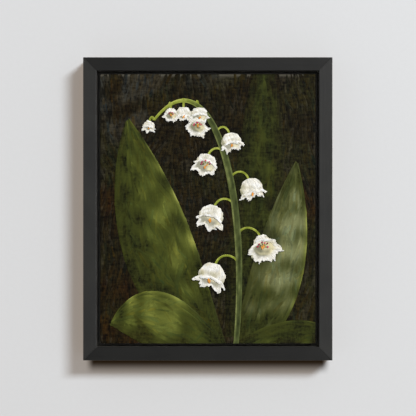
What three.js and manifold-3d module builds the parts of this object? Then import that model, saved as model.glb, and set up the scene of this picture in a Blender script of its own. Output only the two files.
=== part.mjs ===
// A small stretched canvas painting in a black floater frame, hung on a wall by a sawtooth hanger.
//
// Millimetres, +Z up. The picture faces -Y and the wall is the plane y = 0.
// The origin is the hanging point: the middle notch of the hanger, on the wall.
//
// The frame is four mitred L-shaped rails. Its outer wall shows as a narrow face, and its ledge runs
// behind the canvas, which is screwed on from the back so that a dark gap shows all round it.
// The canvas is a cloth wrapped over four stretcher bars, stapled behind, with a key in each corner slot.

import * as THREE from "three";
import { mergeVertices } from "three/addons/utils/BufferGeometryUtils.js";
import Module from "manifold-3d";

const wasm = await Module();
wasm.setup();

// ---- Driving dimensions ----------------------------------------------------------------------

const AIR = 0.1; // between faces that touch
const SEAT = 0.05; // between a fastener or a felt pad and what it bears on
const THROUGH = 1; // how far a cutter runs past the face that it opens
const CLEAR = { hole: 0.3, pilot: 0.1, nail: 0.2, pocket: 0.15 }; // around what goes into a hole

const CANVAS = {
  width: 203.2,
  height: 254,
  cloth: 0.6,
  turnedBack: 31,
  corner: 1.2,
  paint: 0.4,
  paintInset: 0.5,
};
const FRAME = { face: 12.7, gap: 3.2, depth: 30, ledge: 6.3, reach: 30, edge: 0.7, mitreGap: 0.1 };
const BAR = { width: 38, thickness: 19, innerThickness: 15, bead: 5, nose: 1.2 };
const TONGUE = { thickness: 3.2, end: 6, step: 1, root: 4, short: 0.2, layers: { low: 5.6, high: 9.6 } };
const SLOT = { mouth: 3, clear: 0.4, side: 0.6, slope: 1.5, beyond: 2 };
const KEY = { thickness: 3, inside: 14, outside: 16, narrow: 6.5, wide: 10.5, pocket: 11, clear: 0.4 };
const SCREW = {
  inset: 23,
  shank: 1.7,
  length: 18,
  tip: 0.6,
  tipLength: 1.2,
  taper: 4,
  head: 3.5,
  headHeight: 1.9,
  cross: 0.9,
  crossDepth: 1,
  pilotDepth: 12.5,
  share: 0.22, // of the side's length, from its middle
};
const STAPLE = {
  inset: 41,
  crown: 10.5,
  wire: 0.6,
  width: 1.2,
  leg: 4.4,
  round: 0.3,
  bulge: 0.15,
  fromKeys: 7,
};
const V_NAIL = { half: 4.2, rise: 1.8, sheet: 0.7, sunk: 0.3 };
const HANGER = {
  width: 44.5,
  height: 12,
  sheet: 0.9,
  raised: 1.05,
  flat: 28,
  ramp: 1.5,
  inset: 15,
  pitch: 4,
  tooth: 2.2,
  land: 0.4,
  chamfer: 1.5,
  nailAt: 18.6,
};
const NAIL = { shank: 0.8, length: 5.4, point: 1, head: 2, headHeight: 0.6 };
// Heads of fasteners, as shares of their radius and height from the bearing face up.
const PAN_HEAD = [
  [1, 0],
  [1, 0.4],
  [0.85, 0.8],
  [0.5, 1],
  [0, 1],
];
const FLAT_HEAD = [
  [1, 0],
  [1, 0.6],
  [0.7, 1],
  [0, 1],
];
const BUMPER = { radius: 5, height: 2.5, chamfer: 0.6, inset: 13, fromCorner: 24 };

// ---- Places that follow from them ------------------------------------------------------------

const OUTER = {
  width: CANVAS.width + 2 * (FRAME.face + FRAME.gap),
  height: CANVAS.height + 2 * (FRAME.face + FRAME.gap),
};
const Y_FRAME_BACK = -BUMPER.height;
const Y_FRAME_FRONT = Y_FRAME_BACK - FRAME.depth;
const Y_LEDGE_FRONT = Y_FRAME_BACK - FRAME.ledge;
const Y_CLOTH_BACK = Y_LEDGE_FRONT - AIR;
const Y_BAR_BACK = Y_CLOTH_BACK - CANVAS.cloth - AIR;
const Y_BAR_FRONT = Y_BAR_BACK - BAR.thickness;
const Y_CLOTH_FRONT = Y_BAR_FRONT - AIR - CANVAS.cloth;
const BAR_INSET = FRAME.face + FRAME.gap + CANVAS.cloth + AIR; // from the frame's edge to the bar's
const HANGER_MIDDLE = HANGER.height / 2 - HANGER.tooth; // above the notches
const FRAME_TOP = HANGER_MIDDLE + HANGER.inset;
const FRAME_MIDDLE = FRAME_TOP - OUTER.height / 2;

// The four sides. Each is built lying along X with its outer edge at z = 0, then turned into place.
const SIDES = [
  { name: "bottom", turn: 0, length: OUTER.width, out: OUTER.height / 2, staples: 4 },
  { name: "left", turn: Math.PI / 2, length: OUTER.height, out: OUTER.width / 2, staples: 5 },
  { name: "top", turn: Math.PI, length: OUTER.width, out: OUTER.height / 2, staples: 4 },
  { name: "right", turn: -Math.PI / 2, length: OUTER.height, out: OUTER.width / 2, staples: 5 },
];
// The corner at the left end (-1) and right end (+1) of each side as it lies along X.
const CORNERS = {
  bottom: { "-1": "bottom_left", 1: "bottom_right" },
  left: { "-1": "top_left", 1: "bottom_left" },
  top: { "-1": "top_right", 1: "top_left" },
  right: { "-1": "bottom_right", 1: "top_right" },
};
const ENDS = [-1, 1];

// ---- Materials -------------------------------------------------------------------------------

const finish = (color, roughness, metalness = 0) =>
  new THREE.MeshStandardMaterial({ color, roughness, metalness });
const blackPaint = finish(0x2b2b29, 0.45);
const pine = finish(0xcdaf80, 0.75);
const keyWood = finish(0xd9c092, 0.8);
const cloth = finish(0xd9cfba, 0.95);
const oilPaint = finish(0x2c2617, 0.5);
const zinc = finish(0xb9bcc0, 0.35, 1);
const steelWire = finish(0xa3a7ab, 0.4, 1);
const felt = finish(0x3a3836, 1);

// ---- Building helpers ------------------------------------------------------------------------

// A closed three.js geometry as a manifold-3d solid.
function solidOf(geometry) {
  const bare = geometry.index ? geometry.toNonIndexed() : geometry.clone();
  bare.deleteAttribute("normal");
  bare.deleteAttribute("uv");
  const merged = mergeVertices(bare, 1e-4);
  return new wasm.Manifold(
    new wasm.Mesh({
      numProp: 3,
      vertProperties: merged.attributes.position.array,
      triVerts: new Uint32Array(merged.index.array),
    }),
  );
}

// A manifold-3d solid back as a geometry.
function geometryOf(solid) {
  const mesh = solid.getMesh();
  const geometry = new THREE.BufferGeometry();
  geometry.setAttribute("position", new THREE.BufferAttribute(new Float32Array(mesh.vertProperties), 3));
  geometry.setIndex(new THREE.BufferAttribute(new Uint32Array(mesh.triVerts), 1));
  geometry.computeVertexNormals();
  return geometry;
}

const cut = (solid, cutters) => cutters.reduce((rest, cutter) => rest.subtract(cutter), solid);
const join = (solid, pieces) => pieces.reduce((whole, piece) => whole.add(piece), solid);
const outline = (points) => new THREE.Shape(points.map(([x, y]) => new THREE.Vector2(x, y)));

// An outline in the picture's plane (x, z), as a slab from y = back towards the front.
function slab(shape, back, thickness, curveSegments = 6) {
  const geometry = new THREE.ExtrudeGeometry(shape, {
    depth: thickness,
    bevelEnabled: false,
    curveSegments,
  });
  return geometry.rotateX(Math.PI / 2).translate(0, back, 0);
}

// A section in (y, distance in from the outer edge), run along X and mitred at both ends.
const ALONG_X = new THREE.Matrix4().makeBasis(
  new THREE.Vector3(0, 1, 0),
  new THREE.Vector3(0, 0, 1),
  new THREE.Vector3(1, 0, 0),
);
function mitredRun(section, length, mitreGap) {
  const run = { depth: length, bevelEnabled: false, curveSegments: 3 };
  const geometry = new THREE.ExtrudeGeometry(section, run);
  geometry.applyMatrix4(ALONG_X).translate(-length / 2, 0, 0);
  const place = geometry.attributes.position;
  for (let i = 0; i < place.count; i += 1) {
    const x = place.getX(i);
    place.setX(i, x - Math.sign(x) * (place.getZ(i) + mitreGap / 2));
  }
  return geometry;
}

// A straight round pin or hole along Y, from y = back towards the front.
function roundAt(x, z, back, length, radius, sides = 12) {
  const geometry = new THREE.CylinderGeometry(radius, radius, length, sides);
  return geometry.translate(x, back - length / 2, z);
}

function rectangle(width, height) {
  return outline([
    [-width / 2, -height / 2],
    [width / 2, -height / 2],
    [width / 2, height / 2],
    [-width / 2, height / 2],
  ]);
}

function roundedRectangle(width, height, radius) {
  const [w, h, shape] = [width / 2 - radius, height / 2 - radius, new THREE.Shape()];
  shape.absarc(w, -h, radius, -Math.PI / 2, 0);
  shape.absarc(w, h, radius, 0, Math.PI / 2);
  shape.absarc(-w, h, radius, Math.PI / 2, Math.PI);
  shape.absarc(-w, -h, radius, Math.PI, 1.5 * Math.PI);
  return shape;
}

// Points given as (distance from the end, distance in from the outer edge) at one end of a side.
const atEnd = (points, length, end) => outline(points.map(([u, inset]) => [end * (length / 2 - u), inset]));

function piece(name, geometry, material) {
  const mesh = new THREE.Mesh(geometry, material);
  mesh.name = name;
  return mesh;
}

// ---- Fasteners' places along a side ----------------------------------------------------------

const screwPlaces = (side) => ENDS.map((end) => end * side.length * SCREW.share);

// A clear hole for a screw at x, right through what is `thick` from y = back.
function screwHole(x, back, thick) {
  return solidOf(roundAt(x, SCREW.inset, back + THROUGH, thick + 2 * THROUGH, SCREW.shank + CLEAR.hole));
}

function staplePlaces(side) {
  const span = side.length - 2 * (STAPLE.inset + STAPLE.fromKeys);
  return Array.from({ length: side.staples }, (_, i) => span * (i / (side.staples - 1) - 0.5));
}

// The chevron of a corner nail about a point on the mitre, grown by `clear` to make its pocket.
function chevron(middle, clear) {
  const { half, rise, sheet } = V_NAIL;
  const corners = [
    [rise + clear, 0],
    [-rise + clear, half + clear],
    [-rise - sheet - clear, half + clear],
    [rise - sheet - clear, 0],
    [-rise - sheet - clear, -half - clear],
    [-rise + clear, -half - clear],
  ];
  return corners.map(([along, across]) => [
    middle + (along + across) * Math.SQRT1_2,
    middle + (along - across) * Math.SQRT1_2,
  ]);
}
// One in the thick outer wall and one in the ledge: (distance in, depth).
const V_NAIL_PLACES = [
  { label: "outer", middle: 7, depth: 10 },
  { label: "inner", middle: 21, depth: 5 },
];

// ---- The frame -------------------------------------------------------------------------------

function railSection() {
  const { face, reach, edge } = FRAME;
  const section = new THREE.Shape();
  section.moveTo(Y_FRAME_BACK, 0);
  section.lineTo(Y_FRAME_BACK, reach);
  section.lineTo(Y_LEDGE_FRONT, reach);
  section.lineTo(Y_LEDGE_FRONT, face);
  section.lineTo(Y_FRAME_FRONT + edge, face);
  section.absarc(Y_FRAME_FRONT + edge, face - edge, edge, Math.PI / 2, Math.PI);
  section.absarc(Y_FRAME_FRONT + edge, edge, edge, Math.PI, 1.5 * Math.PI);
  return section;
}

function hangerNailHoles() {
  const [back, long, radius] = [Y_FRAME_BACK + THROUGH, NAIL.length + THROUGH, NAIL.shank + CLEAR.pilot];
  return ENDS.map((end) => solidOf(roundAt(end * HANGER.nailAt, HANGER.inset, back, long, radius)));
}

function rail(side) {
  const drilled = screwPlaces(side).map((x) =>
    screwHole(x, Y_FRAME_BACK, FRAME.ledge),
  );
  const pockets = ENDS.flatMap((end) =>
    V_NAIL_PLACES.map(({ middle, depth }) => {
      const shape = atEnd(chevron(middle, CLEAR.pocket), side.length, end);
      return solidOf(slab(shape, Y_FRAME_BACK + THROUGH, depth + V_NAIL.sunk + THROUGH + AIR));
    }),
  );
  const blank = solidOf(mitredRun(railSection(), side.length, FRAME.mitreGap));
  return cut(blank, [...drilled, ...pockets, ...(side.name === "top" ? hangerNailHoles() : [])]);
}

function cornerNail(side, end, { middle, depth }) {
  return slab(atEnd(chevron(middle, 0), side.length, end), Y_FRAME_BACK - V_NAIL.sunk, depth);
}

// A fastener turned about Y: its shank's points (radius, y), then its head from y = 0 up.
function turnedFastener(shankPoints, headShares, head, headHeight, sides) {
  const headPoints = headShares.map(([r, y]) => [r * head, y * headHeight]);
  const profile = [...shankPoints, ...headPoints].map(([r, y]) => new THREE.Vector2(r, y));
  return new THREE.LatheGeometry(profile, sides);
}

// A pan-head wood screw with a cross recess, its axis along Y and its head at the back.
function screw(x) {
  const { shank, length, tip, tipLength, taper, head, headHeight, cross, crossDepth } = SCREW;
  const shankPoints = [
    [0, -length],
    [tip, tipLength - length],
    [shank, taper - length],
    [shank, 0],
  ];
  const body = solidOf(turnedFastener(shankPoints, PAN_HEAD, head, headHeight, 16));
  const recess = [
    new THREE.BoxGeometry(4 * cross, crossDepth, cross),
    new THREE.BoxGeometry(cross, crossDepth, 4 * cross),
  ];
  const cutters = recess.map((box) => solidOf(box.translate(0, headHeight - crossDepth / 2 + SEAT, 0)));
  return geometryOf(cut(body, cutters)).translate(x, Y_FRAME_BACK + SEAT, SCREW.inset);
}

// ---- The stretcher ---------------------------------------------------------------------------

const barLength = (side) => side.length - 2 * BAR_INSET;

// At its right end a bar has its tongue in the high layer and its slot in the low one; its left end is
// the other way round, so that each corner's two ends lock into each other.
const tongueLayer = (end) => (end > 0 ? TONGUE.layers.high : TONGUE.layers.low);
const slotLayer = (end) => (end > 0 ? TONGUE.layers.low : TONGUE.layers.high);

function barSection() {
  const { width, thickness, innerThickness, bead, nose } = BAR;
  const section = new THREE.Shape();
  section.moveTo(Y_BAR_BACK, 0);
  section.lineTo(Y_BAR_BACK, width);
  section.lineTo(Y_BAR_FRONT + thickness - innerThickness, width);
  section.lineTo(Y_BAR_FRONT, bead);
  section.lineTo(Y_BAR_FRONT, nose);
  section.absarc(Y_BAR_FRONT + nose, nose, nose, Math.PI, 1.5 * Math.PI);
  return section;
}

function tongue(length, end) {
  const { end: tip, thickness, step, root, short } = TONGUE;
  const [near, far] = [tip + step, BAR.width - short];
  const plan = [
    [tip, near],
    [tip, far],
    [far + root, far],
    [near + root, near],
  ];
  return solidOf(slab(atEnd(plan, length, end), Y_BAR_BACK - tongueLayer(end), thickness));
}

function slot(length, end) {
  const { end: tip, thickness, short } = TONGUE;
  const { mouth, clear, side, slope, beyond } = SLOT;
  const { width } = BAR;
  const [start, shallow, pocket] = [tip - clear, width - KEY.inside - side, width + KEY.pocket];
  const plan = [
    [tip - mouth, start],
    [width + short, start],
    [width + short, shallow],
    [pocket - slope, shallow],
    [pocket, width + beyond],
    [width - beyond, width + beyond],
  ];
  return solidOf(slab(atEnd(plan, length, end), Y_BAR_BACK - slotLayer(end) + AIR, thickness + 2 * AIR));
}

function bar(side) {
  const length = barLength(side);
  const blank = solidOf(mitredRun(barSection(), length, 2 * AIR));
  const [back, deep, radius] = [Y_BAR_BACK + THROUGH, SCREW.pilotDepth + THROUGH, SCREW.shank + CLEAR.pilot];
  const inset = SCREW.inset - BAR_INSET;
  const pilots = screwPlaces(side).map((x) => solidOf(roundAt(x, inset, back, deep, radius)));
  const legs = staplePlaces(side).flatMap((x) => stapleHoles(x, STAPLE.inset - BAR_INSET).map(solidOf));
  const slotted = cut(blank, ENDS.map((end) => slot(length, end)));
  return cut(join(slotted, ENDS.map((end) => tongue(length, end))), [...pilots, ...legs]);
}

// A corner key: a thin wooden wedge that lies against the other bar's inner edge.
function key(side, end) {
  const { inside, outside, narrow, wide, thickness, clear } = KEY;
  const { width } = BAR;
  const straight = width + clear;
  const plan = [
    [straight, width - inside],
    [straight + narrow, width - inside],
    [straight + wide, width + outside],
    [straight, width + outside],
  ];
  const back = Y_BAR_BACK - slotLayer(end) - (TONGUE.thickness - thickness) / 2;
  return slab(atEnd(plan, barLength(side), end), back, thickness);
}

// ---- The canvas ------------------------------------------------------------------------------

// A staple's U lies in a plane along the side: its crown on the cloth, its legs in the bar.
function staple(x) {
  const { crown, wire, width, leg, round, bulge } = STAPLE;
  const half = crown / 2;
  const plan = outline([
    [-half, wire],
    [-half, -leg],
    [-half + wire, -leg - wire],
    [-half + wire, 0],
    [half - wire, 0],
    [half - wire, -leg - wire],
    [half, -leg],
    [half, wire],
    [half - round, wire + bulge],
    [-half + round, wire + bulge],
  ]);
  const geometry = new THREE.ExtrudeGeometry(plan, { depth: width, bevelEnabled: false });
  return geometry.translate(x, Y_CLOTH_BACK + SEAT, STAPLE.inset - width / 2);
}

// The two slots that a staple's legs make, through the turned-back cloth and into the bar.
function stapleHoles(x, inset) {
  const { crown, wire, width, leg } = STAPLE;
  const deep = leg + wire + CLEAR.hole;
  return ENDS.map((end) => {
    const hole = new THREE.BoxGeometry(wire + CLEAR.hole, deep + THROUGH, width + CLEAR.hole);
    return hole.translate(x + (end * (crown - wire)) / 2, Y_CLOTH_BACK + (THROUGH - deep) / 2, inset);
  });
}

function canvasCloth() {
  const { width, height, cloth: thick, turnedBack, corner } = CANVAS;
  const depth = Y_CLOTH_BACK - Y_CLOTH_FRONT;
  const wrapped = solidOf(slab(roundedRectangle(width, height, corner), Y_CLOTH_BACK, depth, 4));
  const core = rectangle(width - 2 * thick, height - 2 * thick);
  const inside = slab(core, Y_CLOTH_BACK - thick, depth - 2 * thick);
  const opening = rectangle(width - 2 * turnedBack, height - 2 * turnedBack);
  const open = slab(opening, Y_CLOTH_BACK + THROUGH, thick + 2 * THROUGH);
  const pierced = SIDES.flatMap((side) => {
    const place = new THREE.Matrix4().makeRotationY(side.turn);
    place.multiply(new THREE.Matrix4().makeTranslation(0, 0, -side.out));
    const screws = screwPlaces(side).map((x) => screwHole(x, Y_CLOTH_BACK, thick));
    const legs = staplePlaces(side).flatMap((x) => stapleHoles(x, STAPLE.inset).map(solidOf));
    return [...screws, ...legs].map((hole) => hole.transform(place.elements));
  });
  return cut(wrapped, [solidOf(inside), solidOf(open), ...pierced]);
}

function paintFilm() {
  const { width, height, corner, paint, paintInset } = CANVAS;
  const edge = roundedRectangle(width - 2 * paintInset, height - 2 * paintInset, corner);
  return slab(edge, Y_CLOTH_FRONT - SEAT, paint, 4);
}

// ---- What holds it on the wall ---------------------------------------------------------------

// A stamped steel strip: flat feet, a raised middle, and a row of notches along its lower edge.
function sawtoothHanger() {
  const { width, height, sheet, raised, flat, ramp, pitch, tooth, land, chamfer } = HANGER;
  const back = Y_FRAME_BACK + SEAT;
  const feet = width / 2;
  const [top, start] = [height - tooth, flat / 2];
  const side = [
    [-feet, back],
    [-start - ramp, back],
    [-start, back + raised],
    [start, back + raised],
    [start + ramp, back],
    [feet, back],
  ];
  const bentStrip = outline([...side, ...side.map(([x, y]) => [x, y + sheet]).reverse()]);
  const strip = new THREE.ExtrudeGeometry(bentStrip, { depth: height, bevelEnabled: false });
  const front = new THREE.Shape();
  const notches = Math.round(flat / pitch);
  front.moveTo(-feet, -tooth + chamfer);
  front.lineTo(-feet + chamfer, -tooth);
  for (let i = 0; i < notches; i += 1) {
    const x = -start + pitch * i;
    front.lineTo(x + land, -tooth);
    front.lineTo(x + pitch / 2, 0);
    front.lineTo(x + pitch - land, -tooth);
  }
  front.lineTo(feet - chamfer, -tooth);
  front.lineTo(feet, -tooth + chamfer);
  front.lineTo(feet, top - chamfer);
  front.lineTo(feet - chamfer, top);
  front.lineTo(-feet + chamfer, top);
  front.lineTo(-feet, top - chamfer);
  const stamp = solidOf(slab(front, THROUGH, BUMPER.height + 2 * THROUGH));
  const [long, radius] = [BUMPER.height + THROUGH, NAIL.shank + CLEAR.nail];
  const holes = ENDS.map((end) => solidOf(roundAt(end * HANGER.nailAt, HANGER_MIDDLE, 0, long, radius)));
  return cut(solidOf(strip.translate(0, 0, -tooth)).intersect(stamp), holes);
}

function hangerNail(end) {
  const { shank, length, point, head, headHeight } = NAIL;
  const shankPoints = [
    [0, -length],
    [shank, point - length],
    [shank, 0],
  ];
  const nail = turnedFastener(shankPoints, FLAT_HEAD, head, headHeight, 12);
  return nail.translate(end * HANGER.nailAt, Y_FRAME_BACK + HANGER.sheet + 2 * SEAT, HANGER_MIDDLE);
}

function bumper(end) {
  const { radius, height, chamfer, inset, fromCorner } = BUMPER;
  const profile = [
    [0, SEAT],
    [radius, SEAT],
    [radius, height - chamfer],
    [radius - chamfer, height],
    [0, height],
  ].map(([r, y]) => new THREE.Vector2(r, y));
  const x = end * (OUTER.width / 2 - fromCorner);
  return new THREE.LatheGeometry(profile, 24).translate(x, Y_FRAME_BACK, inset);
}

// ---- Putting it together ---------------------------------------------------------------------

function sideGroup(side) {
  const turned = new THREE.Group();
  turned.rotation.y = side.turn;
  turned.position.z = FRAME_MIDDLE;
  const along = new THREE.Group();
  along.position.z = -side.out;
  turned.add(along);
  const stretcher = new THREE.Group();
  stretcher.position.z = BAR_INSET;
  along.add(stretcher);

  along.add(piece(`frame_rail_${side.name}`, geometryOf(rail(side)), blackPaint));
  stretcher.add(piece(`stretcher_bar_${side.name}`, geometryOf(bar(side)), pine));
  for (const end of ENDS) {
    const corner = CORNERS[side.name][end];
    stretcher.add(piece(`corner_key_${corner}_in_${side.name}_bar`, key(side, end), keyWood));
  }
  for (const place of V_NAIL_PLACES) {
    const name = `corner_nail_${CORNERS[side.name][1]}_${place.label}`;
    along.add(piece(name, cornerNail(side, 1, place), zinc));
  }
  screwPlaces(side).forEach((x, i) => {
    along.add(piece(`canvas_screw_${side.name}_${i + 1}`, screw(x), zinc));
  });
  staplePlaces(side).forEach((x, i) => {
    along.add(piece(`canvas_staple_${side.name}_${i + 1}`, staple(x), steelWire));
  });
  if (side.name === "bottom")
    for (const end of ENDS)
      along.add(piece(`wall_bumper_${end < 0 ? "left" : "right"}`, bumper(end), felt));
  return turned;
}

const framedCanvas = new THREE.Group();
SIDES.forEach((side) => framedCanvas.add(sideGroup(side)));

const canvas = new THREE.Group();
canvas.position.z = FRAME_MIDDLE;
canvas.add(piece("canvas_cloth", geometryOf(canvasCloth()), cloth));
canvas.add(piece("paint_film", paintFilm(), oilPaint));
framedCanvas.add(canvas);

framedCanvas.add(piece("sawtooth_hanger", geometryOf(sawtoothHanger()), zinc));
for (const end of ENDS) {
  const name = `hanger_nail_${end < 0 ? "left" : "right"}`;
  framedCanvas.add(piece(name, hangerNail(end), zinc));
}

export default framedCanvas;
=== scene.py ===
"""A lily of the valley painted on a small stretched canvas, in a black floater frame on a wall.

Metres. The picture faces -Y, the wall is the plane y = 0, and +Z is up. The rails, stretcher bars, keys and
fasteners are the frame's own nodes and only get their finishes here. The cloth and the paint are made here:
the cloth as one wrapped sheet, and the paint as a ground with leaves, stems and bells laid on it in low
relief, each covered with raised brush strokes that follow its form.
"""

import bpy
import numpy as np
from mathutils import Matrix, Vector


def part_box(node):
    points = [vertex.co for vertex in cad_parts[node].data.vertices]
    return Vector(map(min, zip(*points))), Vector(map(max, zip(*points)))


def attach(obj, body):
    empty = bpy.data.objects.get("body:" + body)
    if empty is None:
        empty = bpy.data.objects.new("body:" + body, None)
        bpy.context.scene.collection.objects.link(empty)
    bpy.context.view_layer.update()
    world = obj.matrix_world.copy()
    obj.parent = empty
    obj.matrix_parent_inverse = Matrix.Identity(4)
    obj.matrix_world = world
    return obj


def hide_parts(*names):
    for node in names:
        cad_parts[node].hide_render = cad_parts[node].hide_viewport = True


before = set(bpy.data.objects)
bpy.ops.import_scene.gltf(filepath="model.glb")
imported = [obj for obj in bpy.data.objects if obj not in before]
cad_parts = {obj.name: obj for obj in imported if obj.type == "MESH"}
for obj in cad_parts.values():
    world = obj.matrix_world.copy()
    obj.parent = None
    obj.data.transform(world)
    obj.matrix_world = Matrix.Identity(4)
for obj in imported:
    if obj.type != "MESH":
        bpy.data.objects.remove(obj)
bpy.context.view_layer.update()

MM = 0.001

# ---- Places taken from the frame ---------------------------------------------------------------

film_low, film_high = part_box("paint_film")
cloth_low, cloth_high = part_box("canvas_cloth")
rails_low = Vector([min(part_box(f"frame_rail_{side}")[0][i] for side in ("left", "bottom")) for i in range(3)])
rails_high = Vector([max(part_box(f"frame_rail_{side}")[1][i] for side in ("right", "top")) for i in range(3)])

MIDDLE_Z = (film_low.z + film_high.z) / 2
HALF_W = (cloth_high.x - cloth_low.x) / 2
HALF_H = (cloth_high.z - cloth_low.z) / 2
PAINT_Y = film_low.y  # the paint's own front; relief stands in front of it
RAIL_FRONT_Y, RAIL_BACK_Y = rails_low.y, rails_high.y

# ---- Pigments, as display levels turned into linear light --------------------------------------


def level(*values):
    """Linear light of display levels 0 to 255: the display curve undone."""
    c = np.array(values, float) / 255
    return np.where(c <= 0.04045, c / 12.92, ((c + 0.055) / 1.055) ** 2.4)


UMBER = level(27, 22, 9)
UMBER_WARM = level(36, 22, 4)
UMBER_OLIVE = level(33, 32, 13)
SLATE = level(53, 51, 43)
WORN_AND_LIT_EDGE = level(104, 100, 88)  # cloth showing through the paint where the canvas turns over its edge, and a painted highlight along the top edge

# Leaf greens from shade to full light, and the pale bloom of a leaf seen from its back.
LEAF_STOPS = [
    (0.0, level(22, 23, 9)),
    (0.25, level(42, 46, 16)),
    (0.5, level(68, 74, 27)),
    (0.75, level(106, 112, 48)),
    (0.9, level(140, 144, 68)),
    (1.1, level(176, 178, 100)),
]
BLOOM = level(150, 152, 116)
STEM_STOPS = [(0.0, level(36, 43, 20)), (0.5, level(80, 89, 48)), (1.0, level(140, 147, 88))]
PEDICEL_STOPS = [(0.0, level(84, 94, 30)), (0.5, level(138, 148, 54)), (1.0, level(186, 192, 98))]
BELL_STOPS = [
    (0.0, level(92, 94, 66)),
    (0.25, level(140, 140, 112)),
    (0.5, level(184, 180, 152)),
    (0.7, level(214, 209, 190)),
    (0.85, level(231, 228, 217)),
    (1.0, level(242, 240, 233)),
]
HOLLOW_GREY = level(132, 130, 104)
HOLLOW_CREAM = level(216, 206, 164)
CRIMSON = level(190, 48, 96)
GOLD = level(222, 150, 66)
THREAD = level(122, 118, 62)

# ---- Arrays: small helpers ---------------------------------------------------------------------


def smooth(low, high, value):
    """0 below low, 1 above high, and an S-shaped cubic between them."""
    t = np.clip((value - low) / (high - low), 0, 1)
    return t * t * (3 - 2 * t)


def blend(a, b, share):
    """The colour share of the way from a to b."""
    share = np.asarray(share)[..., None]
    return a * (1 - share) + b * share


def ramp(stops, value):
    """The colour at value on a list of (value, colour) stops, straight between them."""
    at, colours = zip(*stops)
    colours = np.array(colours)
    return np.stack([np.interp(value, at, colours[:, i]) for i in range(3)], -1)


def ripple(x, z, length, seed, waves=16):
    """A smooth random field of spread 1: sine waves of about that length in random directions, summed."""
    rng = np.random.default_rng(seed)
    turn = rng.uniform(0, 2 * np.pi, waves)
    rate = 2 * np.pi / (length * rng.uniform(0.6, 1.7, waves))
    phase = rng.uniform(0, 2 * np.pi, waves)
    field = np.zeros(np.broadcast(x, z).shape)
    for a, k, p in zip(turn, rate, phase):
        field += np.sin(k * (x * np.cos(a) + z * np.sin(a)) + p)
    return field * np.sqrt(2 / waves)


def unit(v):
    return v / np.maximum(np.linalg.norm(v, axis=-1, keepdims=True), 1e-12)


def bezier(points, s):
    """The curve through the first and last point that the others pull on: Bernstein's sum of the points."""
    points = np.asarray(points, float)
    degree = len(points) - 1
    s = np.asarray(s)[..., None]
    choose = [1]
    for k in range(degree):
        choose.append(choose[-1] * (degree - k) // (k + 1))
    return sum(c * s**k * (1 - s) ** (degree - k) * p for k, (c, p) in enumerate(zip(choose, points)))


# ---- Meshes ------------------------------------------------------------------------------------


def grid_faces(rows, columns, closed=False, start=0):
    """Quads of a grid whose vertex (row, column) is row * columns + column, joined round if closed."""
    across = columns if closed else columns - 1
    r, c = np.meshgrid(np.arange(rows - 1), np.arange(across), indexing="ij")
    n = (c + 1) % columns
    low, high = r * columns, (r + 1) * columns
    return start + np.stack([low + c, low + n, high + n, high + c], -1).reshape(-1, 4)


def mesh_piece(name, points, faces, finish, colours=None, maps=None, smooth_faces=True):
    """A piece from points (n, 3), faces, colours (n, 3) and UV maps {name: (n, 2)}, riding on the root."""
    mesh = bpy.data.meshes.new(name)
    points = np.asarray(points, float).reshape(-1, 3)
    mesh.from_pydata(points.tolist(), [], faces.tolist() if hasattr(faces, "tolist") else faces)
    corner = np.empty(len(mesh.loops), np.int32)
    mesh.loops.foreach_get("vertex_index", corner)
    for map_name, places in (maps or {}).items():
        layer = mesh.uv_layers.new(name=map_name)
        layer.uv.foreach_set("vector", np.asarray(places, np.float32).reshape(-1, 2)[corner].ravel())
    if colours is not None:
        layer = mesh.color_attributes.new(name="paint", type="FLOAT_COLOR", domain="POINT")
        rgba = np.ones((len(points), 4), np.float32)
        rgba[:, :3] = np.clip(np.asarray(colours).reshape(-1, 3), 0, 1)
        layer.data.foreach_set("color", rgba.ravel())
    mesh.polygons.foreach_set("use_smooth", np.full(len(mesh.polygons), smooth_faces))
    mesh.materials.append(finish)
    mesh.update()
    piece = bpy.data.objects.new(name, mesh)
    bpy.context.scene.collection.objects.link(piece)
    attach(piece, "root")
    return piece


# ---- Finishes: nodes written as expressions ----------------------------------------------------


class Socket:
    """A node's output in a finish. Arithmetic on it adds Math nodes."""

    def __init__(self, finish, output):
        self.finish, self.output = finish, output

    def math(self, operation, *values):
        inputs = dict(enumerate(values))
        return self.finish.node("Math", {"operation": operation}, inputs)

    def __add__(self, other):
        return self.math("ADD", self, other)

    def __sub__(self, other):
        return self.math("SUBTRACT", self, other)

    def __rsub__(self, other):
        return self.math("SUBTRACT", other, self)

    def __mul__(self, other):
        return self.math("MULTIPLY", self, other)

    __radd__ = __add__
    __rmul__ = __mul__

    def sin(self):
        return self.math("SINE", self)

    def clipped(self, low=0.0, high=1.0):
        return self.math("MINIMUM", self.math("MAXIMUM", self, low), high)

    def step(self, low, high):
        """0 below low, 1 above high, smooth between."""
        return self.finish.node("MapRange", {"interpolation_type": "SMOOTHSTEP"}, {0: self, 1: low, 2: high})


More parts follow.
